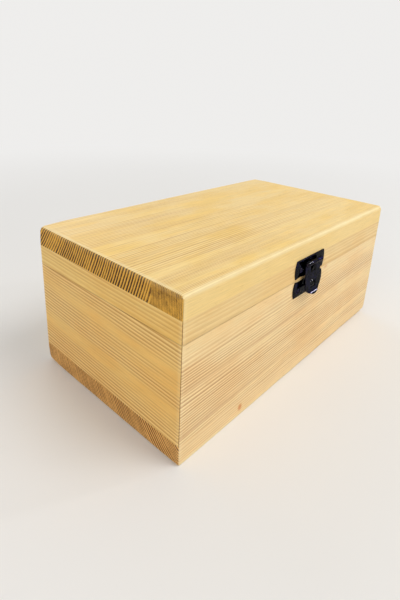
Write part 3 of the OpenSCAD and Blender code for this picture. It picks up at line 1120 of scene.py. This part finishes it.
@dataclass(frozen=True)
class Nails:
    """Domed nails in pairs, made by Geometry Nodes."""
    node: str
    body: str
    head: Pair
    shank: Pair
    groups: int
    group_gap: float
    nail_gap: float
    face: float
    height: float
    facing: Facing

    AROUND = 28
    DOME = 6
    ROWS = 10

    def sizes(self, finish: bpy.types.Material) -> dict[str, tuple[str, object]]:
        """Each input of the tree.

        Args:
            finish: the nails' material.

        Returns:
            The input's kind and content, by its name.
        """
        return {
            "Head Radius": ("Float", self.head[0] * MM),
            "Head Height": ("Float", self.head[1] * MM),
            "Shank Radius": ("Float", self.shank[0] * MM),
            "Shank Length": ("Float", self.shank[1] * MM),
            "Groups": ("Int", self.groups),
            "Group Gap": ("Float", self.group_gap * MM),
            "Nail Gap": ("Float", self.nail_gap * MM),
            "Face": ("Float", self.face * MM),
            "Height": ("Float", self.height * MM),
            "Turn": ("Float", self.facing.value),
            "Finish": ("Material", finish),
        }

    def tree(self, sizes: dict[str, tuple[str, object]]) -> tuple[bpy.types.NodeTree, dict[str, str]]:
        """Build the node tree.

        Args:
            sizes: its inputs.

        Returns:
            The tree, and each input's identifier by its name.
        """
        tree = bpy.data.node_groups.new("nails_" + self.node, "GeometryNodeTree")
        wiring = Wiring(tree)
        tree.interface.new_socket("Nails", in_out="OUTPUT", socket_type="NodeSocketGeometry")
        names = {}
        for name, (kind, _) in sizes.items():
            made = tree.interface.new_socket(name, in_out="INPUT", socket_type="NodeSocket" + kind)
            names[name] = made.identifier
        given = wiring.node("NodeGroupInput")
        size = {name: Value(wiring, given.outputs[name]) for name in names}

        grid = wiring.node("GeometryNodeMeshGrid", None, {
            "Size X": 1.0, "Size Y": 1.0, "Vertices X": self.AROUND + 1, "Vertices Y": self.ROWS})
        u, v, _ = wiring.parts(wiring.value("GeometryNodeInputPosition"))
        around = (u + 0.5) * (2 * math.pi)
        row = (v + 0.5) * (self.ROWS - 1)
        dome = (row / self.DOME).least(1.0) * (math.pi / 2)
        under = row > self.DOME + 0.5
        point = row.step(self.DOME + 2, self.DOME + 3, soft=False)
        neck = row.step(self.DOME + 1, self.DOME + 2, soft=False)
        radius = dome.sine() * size["Head Radius"] * (1 - under) + under * size["Shank Radius"] * (1 - point)
        depth = size["Shank Length"] * (neck * 0.8 + point * 0.2) - dome.cosine() * size["Head Height"]
        nail = wiring.node("GeometryNodeSetPosition", None, {
            "Geometry": grid.outputs["Mesh"],
            "Position": wiring.vector(radius * around.cosine(), depth, radius * around.sine())})
        nail = wiring.node("GeometryNodeMergeByDistance", None,
                           {"Geometry": nail.outputs[0], "Distance": 0.001 * MM})

        def in_row(count: Operand, gap: Value) -> bpy.types.Node:
            """Points in a row along X, centred on the middle.

            Args:
                count: how many points.
                gap: the distance between them.

            Returns:
                The node that makes them.
            """
            return wiring.node("GeometryNodeMeshLine", {"mode": "OFFSET"}, {
                "Count": count, "Start Location": wiring.vector(gap * -0.5 * (count - 1), 0.0, 0.0),
                "Offset": wiring.vector(gap, 0.0, 0.0)})

        groups = in_row(size["Groups"], size["Group Gap"])
        each = in_row(2, size["Nail Gap"])
        spots = wiring.node("GeometryNodeInstanceOnPoints", None,
                            {"Points": groups.outputs[0], "Instance": each.outputs[0]})
        spots = wiring.node("GeometryNodeRealizeInstances", None, {"Geometry": spots.outputs[0]})
        turn = wiring.vector(0.0, 0.0, size["Turn"])
        placed = wiring.node("GeometryNodeInstanceOnPoints", None, {
            "Points": spots.outputs[0], "Instance": nail.outputs[0], "Rotation": turn})
        moved = wiring.node("GeometryNodeTranslateInstances", None, {
            "Instances": placed.outputs[0], "Translation": wiring.vector(0.0, size["Face"], size["Height"]),
            "Local Space": False})
        real = wiring.node("GeometryNodeRealizeInstances", None, {"Geometry": moved.outputs[0]})
        dressed = wiring.node("GeometryNodeSetMaterial", None,
                              {"Geometry": real.outputs[0], "Material": size["Finish"]})
        wiring.node("NodeGroupOutput", None, {0: dressed.outputs[0]})
        return tree, names

    def build(self, finish: bpy.types.Material) -> None:
        """Make the nails and put them in the scene.

        Args:
            finish: the dark steel.
        """
        sizes = self.sizes(finish)
        tree, names = self.tree(sizes)
        holder = put("nails_holder", bpy.data.meshes.new("nails_holder"))
        drive = holder.modifiers.new("nails", "NODES")
        drive.node_group = tree
        for name, (_, content) in sizes.items():
            drive[names[name]] = content
        steel(self.node, plain(holder), finish, self.body)


# -------------------------------------------------------------------- latch

@dataclass
class Latch:
    """The swing latch on the front: two plates, a pin, a lever and a hook."""
    width: float = 28.2
    sheet: float = 0.5
    face: float = -HALF_DEPTH
    upper_edge: float = 57.2
    upper_height: float = 9.6
    lower_edge: float = 55.7
    lower_height: float = 8.7
    bulge: float = 1.0
    dip: float = 0.4
    cusp: float = 5.5
    pivot: Pair = (-52.4, 64.0)
    pin_radius: float = 0.55
    eye_radius: float = 0.85
    lever_width: float = 14.6
    drop: float = 13.6
    notch: Pair = (2.25, 5.0)
    slot: Triple = (2.5, 9.7, 13.3)
    bend_radius: float = 3.45
    bend_sweep: float = 58.0
    tip_rise: float = 3.4
    lean: float = 6.5
    knuckle_width: float = 4.2
    hook_width: float = 3.8
    hook_height: float = 53.45
    hook_reach: float = 2.0
    hook_lip: float = 1.9
    hook_bend: float = 0.25
    hook_nose: float = 0.9
    window: float = 2.9
    nail_head: Pair = (1.5, 0.75)
    nail_shank: Pair = (0.5, 7.0)
    nail_x: float = 8.9
    nail_heights: Pair = (61.2, 50.1)

    def outline(self, edge: float, height: float, up: int) -> list[Pair]:
        """Outline of a plate, with cusps on the edge that faces the seam.

        Args:
            edge: height of the scalloped edge.
            height: height of the plate.
            up: 1 if the plate rises from that edge, -1 if it hangs.

        Returns:
            The outline as length and height points, in order.
        """
        end = self.width / 2 - self.bulge
        corners = [(-self.cusp, 0.0), (self.cusp, 0.0), (end, 0.0), (end, height), (-end, height),
                   (-end, 0.0)]
        points = []
        for first, last, rise, count in (
                (corners[0], corners[1], self.dip, 10), (corners[1], corners[2], self.dip, 8),
                (corners[2], corners[3], -self.bulge, 14), (corners[3], corners[4], 0.0, 12),
                (corners[4], corners[5], -self.bulge, 14), (corners[5], corners[0], self.dip, 8)):
            points += bow(first, last, rise, count)
        return [(x, edge + up * z) for x, z in points]

    def plate(self, name: str, outline: list[Pair], window: list[Pair] | None = None) -> bpy.types.Mesh:
        """Cut a plate out of sheet, lying on the front.

        Args:
            name: the plate's name.
            outline: its outline.
            window: a hole's outline, if it has one.

        Returns:
            The plate with soft edges.
        """
        work = bmesh.new()
        edges = []
        for loop in [outline] + ([window] if window else []):
            ring = [work.verts.new((x * MM, self.face * MM, z * MM)) for x, z in loop]
            edges += [work.edges.new((ring[i], ring[(i + 1) % len(ring)])) for i in range(len(ring))]
        bmesh.ops.triangle_fill(work, edges=edges, use_beauty=True)
        pulled = bmesh.ops.extrude_face_region(work, geom=work.faces[:])
        moved = [part for part in pulled["geom"] if isinstance(part, bmesh.types.BMVert)]
        bmesh.ops.translate(work, verts=moved, vec=(0, -self.sheet * MM, 0))
        bmesh.ops.recalc_face_normals(work, faces=work.faces)
        mesh = mesh_of(name, [vert.co / MM for vert in work.verts], in_order(work))
        work.free()
        return finished(mesh, bevel=0.13)

    def knuckle(self) -> bpy.types.Mesh:
        """The tongue of the upper plate that is rolled around the pin.

        Returns:
            The tongue.
        """
        y, z = self.pivot
        radius = self.pin_radius + 0.02 + self.sheet / 2
        path = [(self.face - 0.2, z + radius), (self.face - 0.9, z + radius)]
        path += arc(self.pivot, radius, 90, 90 + 255, 22)
        return RolledSheet("latch_knuckle", path, [self.knuckle_width / 2], thick=self.sheet,
                           bevel=0.08).mesh()

    def lever(self) -> bpy.types.Mesh:
        """The lever, hanging a little off the wall.

        Returns:
            The lever in its rest pose.
        """
        path = arc((0, 0), self.eye_radius, 285, 0, 26)
        heights = [1.2, 2.4, 3.6, self.notch[1], 6.0, 6.9, 7.8, 8.7, self.slot[1],
                   10.6, 11.5, 12.4, self.slot[2]]
        path += [(self.eye_radius, -height) for height in heights]
        centre = self.eye_radius - self.bend_radius
        count = 22
        for step in range(count + 1):
            turn = math.radians(self.bend_sweep * (1 - (1 - step / count) ** 2))
            y, z = self.bend_radius * math.cos(turn), self.bend_radius * math.sin(turn)
            path.append((centre + y, -self.drop - z))
        half = self.lever_width / 2
        tip_radius = (half ** 2 + self.tip_rise ** 2) / (2 * self.tip_rise)
        right = [0.75, 1.5, self.notch[0], self.slot[0], 3.3, 4.2, 5.1, 5.9, 6.5, 7.0, half]

        def keep(x: float, at: Pair) -> bool:
            """Whether a cell is steel, not notch or slot.

            Args:
                x: its place across the lever.
                at: its depth and height.

            Returns:
                False in the notch and in the slot.
            """
            in_notch = abs(x) < self.notch[0] and at[1] > -self.notch[1]
            in_slot = abs(x) < self.slot[0] and -self.slot[2] < at[1] < -self.slot[1]
            return not in_notch and not in_slot

        def narrow(at: Pair, wide: float) -> float:
            """Half width of the lever, with its free end bowed out.

            Args:
                at: depth and height of a row.
                wide: plain half width.

            Returns:
                The half width at that row.
            """
            rise = at[1] - path[-1][1] + 0.01
            if rise >= self.tip_rise:
                return wide
            return math.sqrt(tip_radius ** 2 - (tip_radius - rise) ** 2)

        mesh = RolledSheet("latch_lever_sheet", path, right, keep, narrow, self.sheet).mesh()
        turn = Matrix.Rotation(math.radians(-self.lean), 4, "X")
        mesh.transform(Matrix.Translation((0, self.pivot[0] * MM, self.pivot[1] * MM)) @ turn)
        return mesh

    def hook(self) -> bpy.types.Mesh:
        """The tongue of the lower plate that is pressed out into a hook.

        Returns:
            The tongue.
        """
        out = self.face - self.hook_reach
        path = [(self.face - 0.1, self.hook_height), (self.face - 0.7, self.hook_height)]
        path += arc((out, self.hook_height - self.hook_bend), self.hook_bend, 90, 180, 6)
        bottom = self.hook_height - self.hook_bend - self.hook_lip
        path += [(out - self.hook_bend, bottom + step) for step in (1.2, 0.8, 0.5, 0.3, 0.15, 0.0)]
        half = self.hook_width / 2

        def narrow(at: Pair, wide: float) -> float:
            """Half width of the hook, with its nose rounded off.

            Args:
                at: depth and height of a row.
                wide: plain half width.

            Returns:
                The half width at that row.
            """
            nose = self.hook_nose
            rise = min(nose, max(0.0, at[1] - bottom))
            return wide - nose + math.sqrt(nose ** 2 - (nose - rise) ** 2)

        return RolledSheet("latch_hook", path, [half - 0.7, half - 0.3, half], narrow=narrow,
                           thick=self.sheet).mesh()

    def pin(self) -> bpy.types.Mesh:
        """The latch pin with its two peened heads.

        Returns:
            The pin.
        """
        end = self.lever_width / 2 + 0.15
        side = [(end + 0.4, 0.35), (end + 0.36, 0.6), (end + 0.22, 0.82), (end, 0.9), (end, self.pin_radius)]
        return lathe("latch_pin_steel", side, (0.0, *self.pivot))

    def build(self, finish: bpy.types.Material) -> None:
        """Make the latch and put its pieces in the scene.

        Args:
            finish: the dark steel.
        """
        upper = self.plate("upper_plate", self.outline(self.upper_edge, self.upper_height, 1))
        steel("latch_upper_plate", joined(upper, self.knuckle()), finish, "lid")
        half, top = self.hook_width / 2, self.hook_height - self.sheet / 2
        window = [(-half, top - self.window), (half, top - self.window), (half, top), (-half, top)]
        lower = self.plate("lower_plate", self.outline(self.lower_edge, self.lower_height, -1), window)
        steel("latch_lower_plate", joined(lower, self.hook()), finish, "body")
        steel("latch_lever", self.lever(), finish, "lever")
        steel("latch_pin", self.pin(), finish, "lid")
        outside = self.face - self.sheet
        for node, body, height in zip(("latch_upper_nails", "latch_lower_nails"), ("lid", "body"),
                                      self.nail_heights):
            Nails(node, body, self.nail_head, self.nail_shank, groups=1, group_gap=0.0,
                  nail_gap=2 * self.nail_x, face=outside, height=height, facing=Facing.FRONT).build(finish)


# ------------------------------------------------------------------- hinges

@dataclass
class Hinge:
    """One surface hinge on the back: two leaves with rolled knuckles and a pin."""
    name: str
    centre_x: float
    width: float = 20.0
    leaf: float = 11.0
    sheet: float = 0.7
    back: float = HALF_DEPTH
    axis: Pair = (51.79, SEAM)
    bore: float = 0.8
    pin_radius: float = 0.75
    middle: float = 3.3
    notch: Pair = (3.45, 1.8)
    corner: float = 1.6

    def leaf_mesh(self, up: int) -> bpy.types.Mesh:
        """One leaf with its knuckles.

        Args:
            up: 1 for the lid's leaf with the middle knuckle, -1 for the body's.

        Returns:
            The leaf.
        """
        flat = self.back + self.sheet / 2
        radius = self.bore + self.sheet / 2
        end = self.leaf
        down = (0.0, 0.12, 0.3, 0.6, 1.0, 1.6, 3.0, 5.0, 7.0, 8.2, end - self.notch[1])
        path = [(flat, end - step) for step in down]
        path += [(flat + 0.05, 1.5), (flat + 0.16, 1.0), (flat + 0.26, 0.5)]
        path += arc((self.axis[0], 0.0), radius, 180, 180 + 295, 26)
        edge = self.middle if up > 0 else self.notch[0]
        half = self.width / 2
        right = [edge, half - 1.8, half - 1.1, half - 0.5, half]

        def keep(x: float, at: Pair) -> bool:
            """Whether a cell is part of the leaf.

            Args:
                x: its place across the leaf.
                at: its depth and its distance from the axis.

            Returns:
                False where the other leaf has its knuckle.
            """
            past = at[1] < self.notch[1] or at[0] > flat + 0.01
            return not past or ((abs(x) < edge) == (up > 0))

        def narrow(at: Pair, wide: float) -> float:
            """Half width of the leaf, with its free corners rounded off.

            Args:
                at: depth and distance from the axis of a row.
                wide: plain half width.

            Returns:
                The half width at that row.
            """
            rise = max(0.0, end - at[1])
            if rise >= self.corner or at[0] > flat + 0.01:
                return wide
            return wide - self.corner + math.sqrt(self.corner ** 2 - (self.corner - rise) ** 2)

        mesh = RolledSheet(self.name + "_leaf", path, right, keep, narrow, self.sheet, 0.12,
                           self.centre_x).mesh()
        for vertex in mesh.vertices:
            vertex.co.z = self.axis[1] * MM + up * vertex.co.z
        return mesh

    def build(self, finish: bpy.types.Material) -> None:
        """Make the hinge and put its pieces in the scene.

        Args:
            finish: the dark steel.
        """
        steel(self.name + "_body_leaf", self.leaf_mesh(-1), finish, "body")
        steel(self.name + "_lid_leaf", self.leaf_mesh(1), finish, "lid")
        half, radius = self.width / 2, self.pin_radius
        side = [(half, radius - 0.3), (half - 0.1, radius - 0.1), (half - 0.3, radius)]
        pin = lathe(self.name + "_rod", side, (self.centre_x, *self.axis))
        steel(self.name + "_pin", pin, finish, "body")


@dataclass
class BackHardware:
    """Both hinges and the eight nails that hold them."""
    centre_x: float = 52.0
    head: Pair = (1.4, 0.55)
    shank: Pair = (0.6, 8.0)
    nail_gap: float = 12.4
    face: float = 50.7
    nail_heights: Pair = (49.0, 63.0)

    def build(self, finish: bpy.types.Material) -> None:
        """Make the hinges and their nails.

        Args:
            finish: the dark steel.
        """
        Hinge("hinge_left", -self.centre_x).build(finish)
        Hinge("hinge_right", self.centre_x).build(finish)
        for body, height in zip(("body", "lid"), self.nail_heights):
            Nails(f"hinge_{body}_nails", body, self.head, self.shank, groups=2, group_gap=2 * self.centre_x,
                  nail_gap=self.nail_gap, face=self.face, height=height, facing=Facing.BACK).build(finish)


# ------------------------------------------------------------------- studio

@dataclass(frozen=True)
class Lamp:
    """A square soft light that looks at the box."""
    name: str
    at: Triple
    size: float
    power: float

    AIM = Vector((0, 0, 0.04))

    def build(self) -> None:
        """Put the lamp in the scene."""
        data = bpy.data.lights.new(self.name, "AREA")
        data.size = self.size
        data.energy = self.power
        lamp = put(self.name, data)
        lamp.location = self.at
        lamp.rotation_euler = (self.AIM - Vector(self.at)).to_track_quat("-Z", "Y").to_euler()


def seen_plainly(wiring: Wiring) -> Value:
    """1 for what the camera sees, straight, mirrored or through glass.

    Args:
        wiring: the nodes it goes among.

    Returns:
        1 on such a ray and 0 on any other.
    """
    ray = wiring.node("ShaderNodeLightPath").outputs
    seen = [Value(wiring, ray[name]) for name in ("Is Camera Ray", "Is Glossy Ray", "Is Transmission Ray")]
    return seen[0].most(seen[1]).most(seen[2])


@dataclass
class Studio:
    """The camera, the soft light, the pale floor and the backdrop."""
    stand: Triple = (-0.184105, -0.140273, 0.144899)
    right: Triple = (0.677096, -0.734660, 0.042601)
    upward: Triple = (0.208065, 0.246647, 0.946506)
    lens: float = 25.633
    shift: float = -0.12020
    ground: float = 0.0
    lamps: tuple[Lamp, ...] = (
        Lamp("key", (0.35, -0.75, 1.25), 0.7, 8.0),
        Lamp("fill", (-1.2, -0.55, 0.7), 0.9, 4.4),
        Lamp("rim", (0.3, 1.2, 0.9), 0.9, 3.0),
        Lamp("glint", (1.06, -0.6, 0.55), 0.07, 1.6),
    )
    daylight: float = 0.5
    background: float = 0.86
    tint: tuple[float, ...] = (1.0, 0.99, 0.975, 1.0)
    floor_tones: tuple[tuple[float, ...], ...] = ((0.83, 0.82, 0.80, 1.0), (0.87, 0.86, 0.84, 1.0))
    floor_reach: float = 12.0
    near: float = 0.22
    far: float = 0.8

    def camera(self) -> None:
        """Place the camera."""
        data = bpy.data.cameras.new("camera")
        data.sensor_fit = "AUTO"
        data.sensor_width = 36.0
        data.lens = self.lens
        data.shift_y = self.shift
        data.clip_start = 0.01
        made = put("camera", data)
        right, upward = Vector(self.right), Vector(self.upward)
        turn = Matrix((right, upward, right.cross(upward))).transposed()
        made.matrix_world = Matrix.Translation(self.stand) @ turn.to_4x4()
        bpy.context.scene.camera = made

    def floor(self) -> None:
        """Lay the pale floor."""
        reach, count = self.floor_reach / MM, 96
        turns = [2 * math.pi * step / count for step in range(count)]
        ring = [(reach * math.cos(turn), reach * math.sin(turn), self.ground) for turn in turns]
        mesh = mesh_of("floor", ring, [tuple(range(count))])
        material, wiring, at, _ = started("pale_floor", 1.0)
        x, y, _ = wiring.parts(at)
        tone = wiring.mix(wiring.noise(at, 3.0, 2.0), *self.floor_tones)
        surface = wiring.node("ShaderNodeBsdfPrincipled", None,
                              {"Base Color": tone, "Roughness": 0.8, "Specular IOR Level": 0.2})
        bright = wiring.node("ShaderNodeEmission", None, {"Color": self.tint, "Strength": self.background})
        away = ((x * x + y * y) ** 0.5).step(self.near, self.far) * seen_plainly(wiring)
        blend = wiring.node("ShaderNodeMixShader", None,
                            {0: away, 1: surface.outputs[0], 2: bright.outputs[0]})
        wiring.node("ShaderNodeOutputMaterial", None, {"Surface": blend.outputs[0]})
        mesh.materials.append(material)
        made = put("floor", mesh)

    def sky(self) -> None:
        """Light the scene evenly, with a pale background."""
        world = bpy.data.worlds.new("studio")
        world.use_nodes = True
        wiring = Wiring(world.node_tree)
        strength = self.daylight + seen_plainly(wiring) * (self.background - self.daylight)
        background = wiring.node("ShaderNodeBackground", None, {"Color": self.tint, "Strength": strength})
        wiring.node("ShaderNodeOutputWorld", None, {"Surface": background.outputs[0]})
        bpy.context.scene.world = world

    def build(self) -> None:
        """Set up the studio."""
        self.camera()
        self.floor()
        self.sky()
        for lamp in self.lamps:
            lamp.build()
        bpy.context.scene.view_settings.view_transform = "Standard"


# --------------------------------------------------------------------- main


def main() -> None:
    """Build the studio and every part of the box."""
    logging.basicConfig(level=logging.INFO, format="%(name)s: %(message)s")
    Studio().build()
    Carcass().build()
    finish = DarkSteel().material()
    Latch().build(finish)
    BackHardware().build(finish)


if __name__ == "__main__":
    main()
